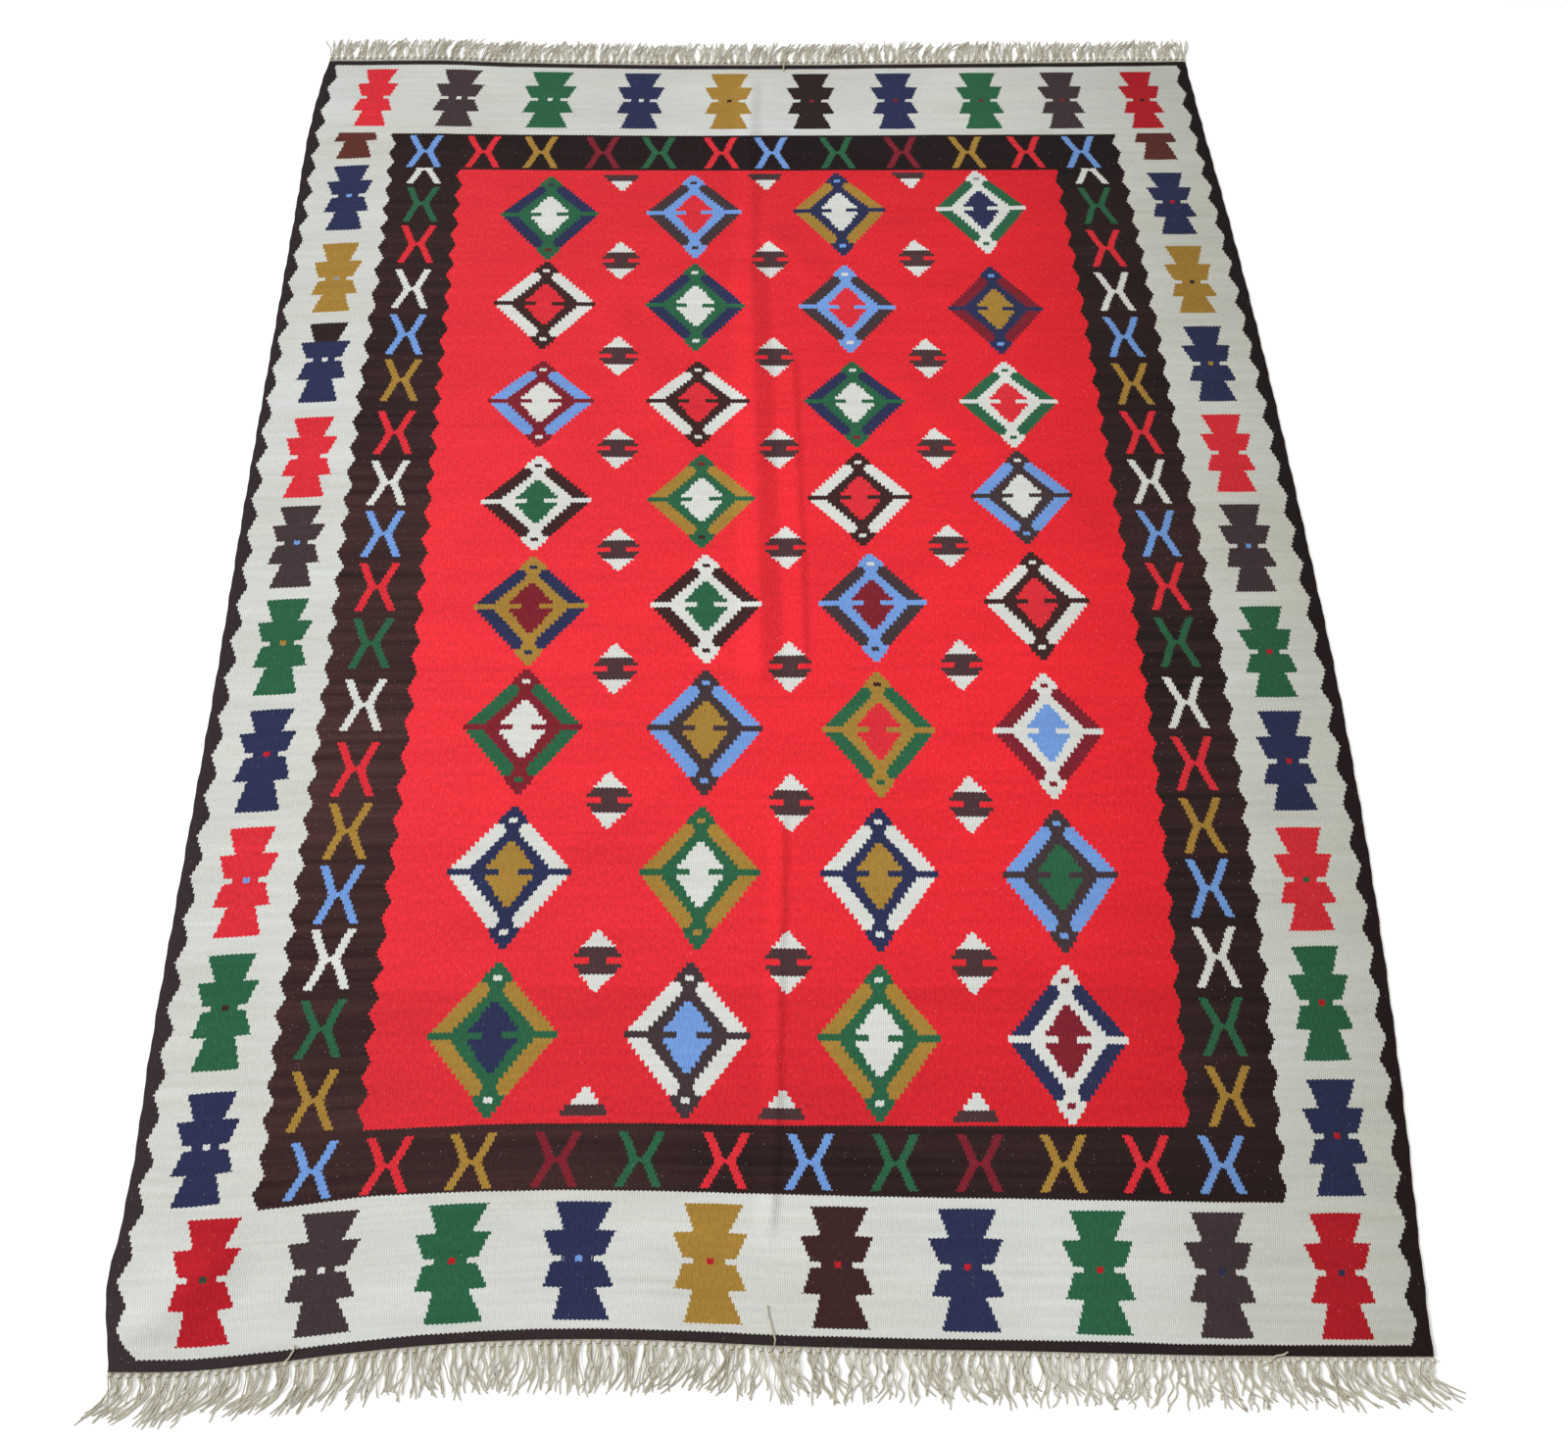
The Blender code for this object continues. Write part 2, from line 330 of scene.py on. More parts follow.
for x, width, places in SIDE_CROSSES:
    fence = [places[0] + PAST_FAR_CROSS] + list(places) + [places[-1] - PAST_NEAR_CROSS]
    for over, y, under, yarn in zip(fence, places, fence[2:], SIDE_CROSS_YARNS.split()):
        half_height = side_cross_height(y)
        weave_motif(CROSS, x, y, half_height, half_height, (CROSS_ASIDE, (over - y) / 2, (y - under) / 2),
                    yarn, width=width, top=FAR_CROSS_CUT)

# Figures in the light border: a row at each end and a column down each side.
# middle along, slope, reach above, below, middle across and width of each; body and dot yarns
END_FIGURES = [
    (0.1250, -0.005, 0.0945, 0.0970,
     "crimson dark_green, aubergine white, green crimson, navy light_blue, ochre crimson, "
     "dark_brown crimson, navy crimson, green crimson, aubergine navy, crimson navy",
     ((0.140, 0.103), (0.320, 0.110), (0.514, 0.116), (0.709, 0.112), (0.907, 0.115),
      (1.102, 0.113), (1.302, 0.116), (1.503, 0.111), (1.689, 0.106), (1.874, 0.104))),
    (2.7665, -0.003, 0.0970, 0.0930,
     "red red, aubergine white, green white, navy white, ochre dark_brown, "
     "black_brown maroon, navy maroon, green rust, aubergine maroon, crimson dark_brown",
     ((0.131, 0.092), (0.319, 0.110), (0.524, 0.120), (0.732, 0.108), (0.932, 0.110),
      (1.118, 0.111), (1.311, 0.109), (1.507, 0.108), (1.693, 0.103), (1.878, 0.096))),
]
END_FIGURE_REACH = (0.070, 0.108, 0.102)
for y, slope, above, below, yarns, places in END_FIGURES:
    for (x, width), own in zip(places, yarns.split(", ")):
        body, dot = own.split()
        weave_motif(FIGURE, x, y + slope * (x - MIDDLE_X), above, below, END_FIGURE_REACH,
                    f"{body} {dot} {body}", width=width)
# middle across, width, slope; then middle along, reach above, below and the yarns of body,
# dot and head, from the far end to the near end. The last of a row is cut by the far border.
SIDE_FIGURES = [
    (0.1095, 0.099, 0.06, [
        (2.6745, 0.102, 0.102, "rust rust rust"), (2.454, 0.096, 0.102, "navy light_blue navy"),
        (2.207, 0.106, 0.092, "ochre grey ochre"), (1.982, 0.102, 0.112, "navy white black_brown"),
        (1.728, 0.103, 0.099, "red red red"), (1.518, 0.090, 0.103, "aubergine light_blue aubergine"),
        (1.288, 0.101, 0.110, "green ochre green"), (1.051, 0.096, 0.114, "navy crimson navy"),
        (0.803, 0.104, 0.104, "red light_blue red"), (0.570, 0.098, 0.106, "green dark_brown green"),
        (0.336, 0.092, 0.092, "navy white navy")]),
    (1.885, 0.099, 0.005, [
        (2.671, 0.102, 0.102, "rust rust rust"), (2.435, 0.093, 0.097, "navy crimson navy"),
        (2.195, 0.108, 0.087, "ochre dark_brown ochre"), (1.965, 0.106, 0.099, "navy ochre navy"),
        (1.731, 0.101, 0.097, "red red red"), (1.501, 0.103, 0.106, "aubergine light_blue aubergine"),
        (1.257, 0.105, 0.097, "green crimson green"), (1.023, 0.108, 0.098, "navy crimson navy"),
        (0.788, 0.104, 0.094, "red green red"), (0.562, 0.104, 0.099, "green crimson green"),
        (0.335, 0.097, 0.094, "navy crimson navy")]),
]
FAR_FIGURE_CUT = 2.655
FIGURE_ASIDE = 0.072
FIGURE_SPARE = 0.006
for x, width, slope, column in SIDE_FIGURES:
    for y, above, below, yarns in column:
        reach = (FIGURE_ASIDE, above + FIGURE_SPARE, below + FIGURE_SPARE)
        weave_motif(FIGURE, x, y, above, below, reach, yarns,
                    width=width, slope=slope, top=FAR_FIGURE_CUT)

# ---------------------------------------------------------------------------------
# The woven rug. One cloth of wool weft, beaten down over cotton warps until only the
# wool shows, 3 mm thick and the same on both sides. Each face of its grid knows where
# it is on the cloth, which motif it belongs to and which yarns that motif takes.
# ---------------------------------------------------------------------------------
ROW_SPACING = 0.0100
COLUMN_SPACING = 0.0165
FOLD_COLUMN_SPACING = 0.0045
FOLDED_MIDDLE = (0.92, 1.08)
EDGE_ROUND = 0.0020
EDGE_KEPT = 0.08
# small hollows and swells, deeper at the near end: how many radians of a wave a metre makes
# across and along, and where the wave starts
RIPPLE = 0.0006
RIPPLE_WAVES = ((17.1, 3.1, 0.0), (9.7, -12.3, 1.1), (5.3, 21.0, 2.3), (31.0, -5.0, 0.7))
NEAR_RIPPLE_REACH = 0.12
# the cloth wavers a little from side to side: swing, radians a metre along, and start
WAVERS = ((0.0007, 61.0, 1.0), (0.0005, 143.0, 0.0))
# where the camera stands, measured like the cloth
CAMERA_AT = (0.96482, -0.46567, 2.76057)


def lines_between(stops, spacing):
    """Lines at most so far apart, with one at each of the stops."""
    stops = sorted(set(stops))
    lines = []
    for start, end in zip(stops, stops[1:]):
        count = max(1, math.ceil((end - start) / spacing - 1e-6))
        lines += [start + (end - start) * i / count for i in range(count)]
    return lines + [stops[-1]]


def rounded(size):
    """The stops of a rounded edge at both ends of a side."""
    return [0.0, EDGE_ROUND * 0.3, EDGE_ROUND, size - EDGE_ROUND, size - EDGE_ROUND * 0.3, size]


def ripple(x, y):
    """Hollows and swells that the cloth keeps from the loom, never below 0."""
    swells = [np.sin(turn_x * x + turn_y * y + start) for turn_x, turn_y, start in RIPPLE_WAVES]
    near_end = np.exp(-y / NEAR_RIPPLE_REACH)
    return RIPPLE * (1 + sum(swells) / len(swells)) * (1 + 2 * near_end)


rows_y = np.array(lines_between(rounded(CLOTH_LENGTH) + [FAR_CROSS_CUT, FAR_FIGURE_CUT], ROW_SPACING))
columns_x = np.array(sorted(set(
    [x for x in lines_between(rounded(CLOTH_WIDTH) + list(FOLDED_MIDDLE), COLUMN_SPACING)
     if not FOLDED_MIDDLE[0] < x < FOLDED_MIDDLE[1]]
    + lines_between(FOLDED_MIDDLE, FOLD_COLUMN_SPACING)[1:-1])))
grid_x, grid_y = np.meshgrid(columns_x, rows_y)
floor_x, floor_y = pulled(grid_x, grid_y)
floor_x += sum(swing * np.sin(turn * grid_y + start) for swing, turn, start in WAVERS)
to_edge = np.minimum(np.minimum(grid_x, CLOTH_WIDTH - grid_x), np.minimum(grid_y, CLOTH_LENGTH - grid_y))
into_round = (1 - to_edge / EDGE_ROUND).clip(0, 1)
half_thick = CLOTH_THICKNESS / 2 * np.sqrt(np.clip(1 - into_round ** 2, EDGE_KEPT, 1))
middle_z = fold_height(grid_x, grid_y) + ripple(grid_x, grid_y) + CLOTH_THICKNESS / 2
# the lie of the cloth was measured as if flat, so a raised place lies nearer to the eye
raised = (middle_z + CLOTH_THICKNESS / 2) / CAMERA_AT[2]
floor_x += (CAMERA_AT[0] - floor_x) * raised
floor_y += (CAMERA_AT[1] - floor_y) * raised
sides = [np.stack([floor_x + SHIFT_X, floor_y + SHIFT_Y, middle_z + way * half_thick], axis=-1)
         for way in (1, -1)]
row_count, column_count = grid_x.shape
on_side = row_count * column_count
corner = (np.arange(row_count - 1)[:, None] * column_count + np.arange(column_count - 1)).ravel()
top_faces = np.stack([corner, corner + 1, corner + column_count + 1, corner + column_count], axis=1)
number = np.arange(on_side).reshape(row_count, column_count)
around = np.concatenate([number[0, :-1], number[:-1, -1], number[-1, :0:-1], number[:0:-1, 0]])
following = np.roll(around, -1)
edge_faces = np.stack([around, around + on_side, following + on_side, following], axis=1)
faces = np.concatenate([top_faces, top_faces[:, ::-1] + on_side, edge_faces])

rug_mesh = bpy.data.meshes.new("woven_rug_cloth")
rug_mesh.from_pydata(np.concatenate(sides).reshape(-1, 3).tolist(), [], faces.tolist())

# which motif each face belongs to: of two that want a face, the one noted last has it
on_cloth = np.tile(np.stack([grid_x.ravel(), grid_y.ravel()], axis=1), (2, 1))
corner_places = on_cloth[faces]
middles = corner_places.mean(axis=1)
owner = np.full(len(faces), -1)
for i, (kind, x, y, aside, rows, scales, slope, yarns) in enumerate(motifs):
    inside = (np.abs(middles[:, 0] - x) < aside) & (middles[:, 1] > rows[0]) & (middles[:, 1] < rows[1])
    owner[inside] = i

kinds = np.zeros(len(faces))
motif_places = np.zeros_like(corner_places)
face_yarns = np.zeros((5, len(faces), 3))
for i, (kind, x, y, aside, rows, scales, slope, yarns) in enumerate(motifs):
    own = owner == i
    kinds[own] = kind
    own_x, own_y = corner_places[own, :, 0], corner_places[own, :, 1]
    up = own_y - y - slope * (own_x - x)
    motif_places[own, :, 0] = (warps_at(own_x) - round(warps_at(x))) * scales[0]
    motif_places[own, :, 1] = up * np.where(up > 0, scales[1], scales[2])
    for part, yarn in enumerate(yarns):
        face_yarns[part, own] = linear(YARNS[yarn])

for name, places in (("weave", corner_places), ("motif", motif_places),
                     ("OFBake", corner_places / (CLOTH_WIDTH, CLOTH_LENGTH))):
    layer = rug_mesh.uv_layers.new(name=name)
    layer.data.foreach_set("uv", places.ravel())
rug_mesh.attributes.new("motif_kind", "FLOAT", "FACE").data.foreach_set("value", kinds)
for part in range(5):
    attribute = rug_mesh.attributes.new(f"yarn_{part + 1}", "FLOAT_VECTOR", "FACE")
    attribute.data.foreach_set("vector", face_yarns[part].ravel())
rug_mesh.shade_smooth()
rug = bpy.data.objects.new("kilim_cloth", rug_mesh)
bpy.context.scene.collection.objects.link(rug)

# ---------------------------------------------------------------------------------
# The dyed wool. The warps show as fine ribs along the rug, and the beaten wefts as small
# beads across them. Colours change from rib to rib, so slanted edges come out in steps.
# ---------------------------------------------------------------------------------


class Reckoned:
    """A number that a node tree works out. Sums that are written with it become nodes."""

    def __init__(self, tree, socket):
        self.tree = tree
        self.socket = socket

    def step(self, operation, *others):
        return reckon(self.tree, operation, self, *others)

    def __add__(self, other):
        return self.step("ADD", other)

    def __radd__(self, other):
        return self.step("ADD", other)

    def __sub__(self, other):
        return self.step("SUBTRACT", other)

    def __rsub__(self, other):
        return reckon(self.tree, "SUBTRACT", other, self)

    def __mul__(self, other):
        return self.step("MULTIPLY", other)

    def __truediv__(self, other):
        return self.step("DIVIDE", other)

    def __mod__(self, other):
        return self.step("FLOORED_MODULO", other)

    def __lt__(self, other):
        return self.step("LESS_THAN", other)

    def __gt__(self, other):
        return self.step("GREATER_THAN", other)

    def __and__(self, other):
        return self.step("MULTIPLY", other)

    def __or__(self, other):
        return self.step("MAXIMUM", other)

    def __abs__(self):
        return self.step("ABSOLUTE")

    def floor(self):
        return self.step("FLOOR")

    def from_zero(self):
        """Itself, but never below 0."""
        return self.step("MAXIMUM", 0.0)

    def up_to(self, most):
        """Itself, but never more than that, nor below 0."""
        return self.step("MINIMUM", most).from_zero()


def feed(tree, value, slot):
    """Gives a socket a value, or the output of another node."""
    if isinstance(value, Reckoned):
        value = value.socket
    if isinstance(value, bpy.types.NodeSocket):
        tree.links.new(value, slot)
    else:
        slot.default_value = value


def reckon(tree, operation, *values):
    """One Math node."""
    node = tree.nodes.new("ShaderNodeMath")
    node.operation = operation
    for value, slot in zip(values, node.inputs):
        feed(tree, value, slot)
    return Reckoned(tree, node.outputs[0])


def opaque(color):
    """A yarn's colour from 0 to 255 as a node takes it."""
    return (*linear(color), 1.0)


def mixed(tree, mask, under, over, blend="MIX"):
    """One colour laid over another where the mask is 1."""
    node = tree.nodes.new("ShaderNodeMix")
    node.data_type = "RGBA"
    node.blend_type = blend
    feed(tree, mask, node.inputs[0])
    feed(tree, under, node.inputs[6])
    feed(tree, over, node.inputs[7])
    return node.outputs[2]


def strengthened(tree, color, strength):
    """A colour times a number."""
    node = tree.nodes.new("ShaderNodeVectorMath")
    node.operation = "SCALE"
    feed(tree, color, node.inputs[0])
    feed(tree, strength, node.inputs["Scale"])
    return node.outputs[0]


def noise(tree, place, scale, detail=2.0, spread=0.5):
    """Soft noise from -1 to 1 over places in metres."""
    node = tree.nodes.new("ShaderNodeTexNoise")
    node.inputs["Scale"].default_value = scale
    node.inputs["Detail"].default_value = detail
    node.inputs["Roughness"].default_value = spread
    feed(tree, place, node.inputs["Vector"])
    return Reckoned(tree, node.outputs[0]) * 2.0 - 1.0


def place_of(tree, across, along):
    """A vector from two numbers."""
    node = tree.nodes.new("ShaderNodeCombineXYZ")
    feed(tree, across, node.inputs[0])
    feed(tree, along, node.inputs[1])
    return node.outputs[0]


def curve_of(tree, value, points):
    """A number read from a curve of straight runs through given points."""
    node = tree.nodes.new("ShaderNodeFloatCurve")
    low, high = points[0][0], points[-1][0]
    curve = node.mapping.curves[0]
    while len(curve.points) < len(points):
        curve.points.new(0.5, 0.5)
    for point, (at, result) in zip(curve.points, points):
        point.location = ((at - low) / (high - low), result)
        point.handle_type = "VECTOR"
    node.mapping.update()
    feed(tree, (value - low) / (high - low), node.inputs["Value"])
    return Reckoned(tree, node.outputs[0])


def new_group(name, inputs, outputs):
    """An empty shader node group: its tree, its inputs and its output sockets."""
    tree = bpy.data.node_groups.new(name, "ShaderNodeTree")
    for labels, way in ((inputs, "INPUT"), (outputs, "OUTPUT")):
        for label in labels:
            kind = "NodeSocketColor" if label.endswith("Color") else "NodeSocketFloat"
            tree.interface.new_socket(label, in_out=way, socket_type=kind)
    given = tree.nodes.new("NodeGroupInput")
    result = tree.nodes.new("NodeGroupOutput")
    return tree, [Reckoned(tree, given.outputs[label]) for label in inputs], result.inputs


def place_group(tree, group, *values):
    """The group as one node of a tree, fed in order. Gives its outputs in order."""
    node = tree.nodes.new("ShaderNodeGroup")
    node.node_tree = group
    for value, slot in zip(values, node.inputs):
        feed(tree, value, slot)
    return [Reckoned(tree, socket) for socket in node.outputs]


# The ribs: which rib a place is on, the comb of teeth along every weft line and the
# weaver's unevenness, the relief of ribs and beads, and how deep in a groove a place
# lies, which the wool darkens as painted shade.
PICK = 0.00165
TOOTH = 0.0007
UNEVEN_WEFT = 0.0020
BEAD_DEPTH = 0.22
BEAD_JITTER = 1.5

rib_weave, (across, along), out = new_group(
    "weft_faced_weave", ("Across", "Along"),
    ("Off Middle", "Rib Middle", "Weft Shift", "Relief", "Groove"))
warps = across * WARPS_PER_METRE + across * across * MORE_WARPS_TO_THE_RIGHT
rib = warps.floor()
odd = rib % 2.0
off_middle = rib + 0.5 - warps
feed(rib_weave, off_middle, out["Off Middle"])
warps_here = across * (2 * MORE_WARPS_TO_THE_RIGHT) + WARPS_PER_METRE
feed(rib_weave, across + off_middle / warps_here, out["Rib Middle"])
uneven = noise(rib_weave, place_of(rib_weave, across, along), 7.0, 2.0, 0.6)
feed(rib_weave, (odd - 0.5) * (2 * TOOTH) + uneven * UNEVEN_WEFT, out["Weft Shift"])
in_rib = abs(off_middle) * 2.0
beaten = noise(rib_weave, place_of(rib_weave, rib * 7.3, along * 90.0), 1.0, 1.0)
in_pick = abs((along / PICK + odd * 0.5 + beaten * BEAD_JITTER) % 1.0 - 0.5) * 2.0
round_rib = 1.0 - in_rib * in_rib
feed(rib_weave, round_rib * (1.0 - in_pick * in_pick * BEAD_DEPTH), out["Relief"])
feed(rib_weave, in_rib.step("POWER", 3.0), out["Groove"])

# The ground: dark selvedge, light border, dark border and the field. The three side
# boundaries run in zigzags, counted from the near end, and drift a little aside.
# how far it swings, then places along, zigzags counted up to there, middle across there
SELVEDGE_LEFT = (0.0078, [
    (0.060, 0.52, 0.0225), (0.517, 6.78, 0.0245), (0.974, 12.55, 0.0235), (1.431, 18.17, 0.0236),
    (1.888, 23.60, 0.0160), (2.345, 29.32, 0.0210), (2.802, 35.50, 0.0246)])
LIGHT_LEFT = (0.0070, [
    (0.218, 0.82, 0.2005), (0.629, 7.72, 0.1972), (1.039, 14.44, 0.1955), (1.450, 20.78, 0.1941),
    (1.861, 27.16, 0.1892), (2.271, 33.02, 0.1930), (2.682, 40.10, 0.1900)])
FIELD_LEFT = (0.0070, [
    (0.292, 0.82, 0.3457), (0.663, 7.50, 0.3487), (1.034, 13.33, 0.3488), (1.405, 18.61, 0.3487),
    (1.776, 24.41, 0.3448), (2.147, 30.28, 0.3416), (2.518, 36.48, 0.3440)])
FIELD_RIGHT = (0.0058, [
    (0.340, 0.42, 1.6515), (0.699, 6.18, 1.6522), (1.059, 11.92, 1.6538), (1.418, 17.57, 1.6522),
    (1.777, 23.28, 1.6478), (2.137, 28.86, 1.6492), (2.496, 34.40, 1.6480)])
LIGHT_RIGHT = (0.0060, [
    (0.212, 0.33, 1.7960), (0.622, 6.97, 1.7982), (1.032, 13.42, 1.7983), (1.442, 19.66, 1.7981),
    (1.852, 26.04, 1.7925), (2.262, 32.62, 1.7954), (2.672, 39.31, 1.7945)])
SELVEDGE_RIGHT = (0.0071, [
    (0.056, 0.08, 1.9740), (0.522, 6.26, 1.9778), (0.989, 12.18, 1.9754), (1.455, 17.92, 1.9755),
    (1.921, 23.72, 1.9750), (2.388, 29.73, 1.9748), (2.854, 35.90, 1.9755)])
# both are more than is met, since a curve node reads from 0 to 1
MOST_ZIGZAGS = 44.0
MOST_DRIFT = 0.02
# first and last row, how much lower the first one is a metre to the right, and how much it
# sinks for each metre to the left of the place where it starts to sink
LIGHT_ROWS = (0.016, 2.880, 0.000, 0.00)
DARK_ROWS = (0.237, 2.652, 0.0075, 0.07)
FIELD_ROWS = (0.352, 2.538, 0.000, 0.00)
SINKS_LEFT_OF = 0.35

ground_chart, (rib_middle, weft), out = new_group(
    "ground_of_borders", ("Rib Middle", "Weft"), ("Light", "Dark", "Field"))


def zigzag(swing, stops):
    """How far across a zigzag boundary is, along the rug."""
    first, last = stops[0], stops[-1]
    before = first[1] - (first[0] * (stops[1][1] - first[1]) / (stops[1][0] - first[0]))
    after = last[1] + (CLOTH_LENGTH - last[0]) * (last[1] - stops[-2][1]) / (last[0] - stops[-2][0])
    counts = [(0.0, before + 1.0)] + [(y, n + 1.0) for y, n, x in stops] + [(CLOTH_LENGTH, after + 1.0)]
    turn = curve_of(ground_chart, weft, [(y, n / MOST_ZIGZAGS) for y, n in counts]) * MOST_ZIGZAGS % 1.0
    centre = stops[3][2]
    drift = [(y, 0.5 + (x - centre) / MOST_DRIFT / 2) for y, n, x in stops]
    middle = (curve_of(ground_chart, weft, drift) - 0.5) * (2 * MOST_DRIFT) + (centre - swing)
    return abs(turn - 0.5) * (4 * swing) + middle


def between(left, right, rows):
    """Where the ground lies between two zigzags and two straight rows."""
    aside = (rib_middle > zigzag(*left)) & (rib_middle < zigzag(*right))
    sunk = (SINKS_LEFT_OF - rib_middle).from_zero() * rows[3]
    return aside & (weft + (rib_middle - MIDDLE_X) * rows[2] + sunk > rows[0]) & (weft < rows[1])


# the dark selvedge fills the near left corner, aslant
CORNER_WIDTH = 0.056
CORNER_SLANT = 0.85
past_corner = rib_middle + weft * CORNER_SLANT > CORNER_WIDTH
feed(ground_chart, between(SELVEDGE_LEFT, SELVEDGE_RIGHT, LIGHT_ROWS) & past_corner, out["Light"])
feed(ground_chart, between(LIGHT_LEFT, LIGHT_RIGHT, DARK_ROWS), out["Dark"])
feed(ground_chart, between(FIELD_LEFT, FIELD_RIGHT, FIELD_ROWS), out["Field"])

# A big diamond: bars outside, a ring with spurs and a knob at each tip, and a heart.
# In the charts, aside counts warps from the middle, and up is in metres along the rug. Where
# the outline goes in steps, a list gives how many warps it is from the middle, step by step.
MOST_WARPS = 32.0


def warps_by_step(tree, step, counts):
    """How many warps from the middle an outline is at a step, and 0 beyond its last one."""
    stops = [(i, count / MOST_WARPS) for i, count in enumerate(counts)] + [(len(counts), 0.0)]
    return curve_of(tree, step, stops) * MOST_WARPS


STEP_ALONG = 0.0081
SPUR = 0.0055
SPUR_REACH = 29.0
HEART_SPUR_FROM = 4.5
DOT_AT = 0.0935
DOT_HALF_HEIGHT = 0.0042
DOT_HALF_WIDTH = 2.2
BARS_BY_STEP = (27, 25, 23, 21, 19, 17, 15, 13, 11, 9, 7)
RING_BY_STEP = (18, 16, 14, 12, 10, 8, 6, 4, 3, 4, 7, 6, 4, 2)
HEART_BY_STEP = (11, 9, 7, 6, 4, 2)
diamond_chart, (aside, up), out = new_group(
    "big_diamond_chart", ("Aside", "Up"), ("Bars", "Ring", "Heart", "Far Dot", "Near Dot"))
aside = abs(aside)
high = abs(up)
step = ((high - SPUR).from_zero() / STEP_ALONG).floor()
bars = aside < warps_by_step(diamond_chart, step, BARS_BY_STEP)
ring = aside < warps_by_step(diamond_chart, step, RING_BY_STEP)
heart = aside < warps_by_step(diamond_chart, step, HEART_BY_STEP)
long_spur = (high < SPUR) & (aside < SPUR_REACH)
short_spur = (high < SPUR - 0.0005) & (aside > HEART_SPUR_FROM)
dot = (abs(high - DOT_AT) < DOT_HALF_HEIGHT) & (aside < DOT_HALF_WIDTH)
feed(diamond_chart, bars, out["Bars"])
feed(diamond_chart, ring | long_spur, out["Ring"])
feed(diamond_chart, heart & (1.0 - short_spur), out["Heart"])
feed(diamond_chart, dot & (up > 0.0), out["Far Dot"])
feed(diamond_chart, dot & (up < 0.0), out["Near Dot"])

# A small diamond: light tips, and a dark waist with a notch from each side.
NOTCH_HEIGHT = 0.005
NECK_HALF_WIDTH = 4.1
WAIST_HALF_WIDTH = 11.0
WAIST_TOP = 0.0215
SMALL_TOP = 0.0485
small_chart, (aside, up), out = new_group("small_diamond_chart", ("Aside", "Up"), ("Tips", "Waist"))
aside = abs(aside)
high = abs(up)
step = ((high - NOTCH_HEIGHT) / 0.0066).floor()
slope = (aside < WAIST_HALF_WIDTH - step * 1.7) & (high > NOTCH_HEIGHT) & (high < SMALL_TOP)
neck = (high < NOTCH_HEIGHT + 0.0002) & (aside < NECK_HALF_WIDTH)
feed(small_chart, slope & (high > WAIST_TOP), out["Tips"])
feed(small_chart, (slope | neck) & (high < WAIST_TOP), out["Waist"])

# Half of one, as woven where the field begins and ends: a dark foot and a stepped light tip.
HALF_FOOT = 0.0045
HALF_STEP = 0.0098
HALF_WAIST_BY_STEP = (10.5, 9)
HALF_TIP_BY_STEP = (0, 0, 6.3, 4, 1.5)
half_chart, (aside, up), out = new_group("half_diamond_chart", ("Aside", "Up"), ("Tips", "Waist"))
aside = abs(aside)
step = ((up - HALF_FOOT) / HALF_STEP).floor()
from_foot = (up > HALF_FOOT) & (step < len(HALF_TIP_BY_STEP))
waist = (aside < warps_by_step(half_chart, step, HALF_WAIST_BY_STEP)) & from_foot & (step < 2.0)
feed(half_chart, (aside < warps_by_step(half_chart, step, HALF_TIP_BY_STEP)) & from_foot, out["Tips"])
feed(half_chart, waist, out["Waist"])

# A figure: a head and a foot that widen outwards, two pairs of arms and a notched waist.
# up, then the half width as a part of the widest
FIGURE_PROFILE = [
    (-0.1046, 0.00), (-0.1045, 0.77), (-0.0475, 0.46), (-0.0473, 0.95), (-0.0029, 0.69), (-0.0027, 0.41),
    (0.0071, 0.41), (0.0073, 0.70), (0.0522, 0.99), (0.0524, 0.46), (0.1044, 0.79), (0.1046, 0.00),
]
FIGURE_HALF = 14.3
figure_chart, (aside, up), out = new_group("figure_chart", ("Aside", "Up"), ("Body", "Dot", "Head"))
body = abs(aside) < curve_of(figure_chart, up, FIGURE_PROFILE) * FIGURE_HALF
feed(figure_chart, body, out["Body"])
feed(figure_chart, (abs(up - 0.0022) < 0.0052) & (abs(aside - 0.5) < 1.3), out["Dot"])
feed(figure_chart, body & (up > 0.0523), out["Head"])

# A cross: two bars that lean apart at both ends, joined at the middle.
# warps that a bar leans aside in a metre, where it starts, its half width, its top
BAR_LEAN = 94.8
BAR_FROM = 2.2
BAR_HALF_WIDTH = 1.75
BAR_TOP = 0.056
cross_chart, (aside, up), out = new_group("cross_chart", ("Aside", "Up"), ("Bars",))
aside = abs(aside)
high = abs(up)
bar = (abs(aside - high * BAR_LEAN - BAR_FROM) < BAR_HALF_WIDTH) & (high < BAR_TOP)
joint = (high < 0.0045) & (aside < 2.8)
feed(cross_chart, bar | joint, out["Bars"])

# Wool: slow changes of dye from weft to weft, streaks, a heather of fibres and lint, with
# painted shade in the grooves and towards the right side.
# painted shade on the right side: where it starts across, and the colour it multiplies by
PAINTED_SHADE_FROM = 1.42
PAINTED_SHADE_TINT = (0.76, 0.75, 0.70, 1.0)
HANDSPUN_SHADE = 0.29
FIBRE_SHADE = 0.22
# painted shade in the grooves between the ribs
GROOVE_PAINTED_SHADE = 0.17
BATCH_SHADE = 0.14
LINT_CELLS = 60.0
LINT_SIZE = 0.06
LINT_SHARE = 0.3
wool, (color, across, along, groove, streaked), out = new_group(
    "dyed_wool_and_painted_shade", ("Yarn Color", "Across", "Along", "Groove", "Streaked"), ("Color", "Fuzz"))
batches = noise(wool, place_of(wool, across * 0.25, along), 9.0, 3.0, 0.7)
streaks = noise(wool, place_of(wool, across * 5.0, along * 90.0), 1.0, 3.0, 0.65)
fibres = noise(wool, place_of(wool, across, along), 900.0, 2.0, 0.6)
handspun = noise(wool, place_of(wool, across * 240.0, along * 100.0), 1.0, 3.0, 0.7)
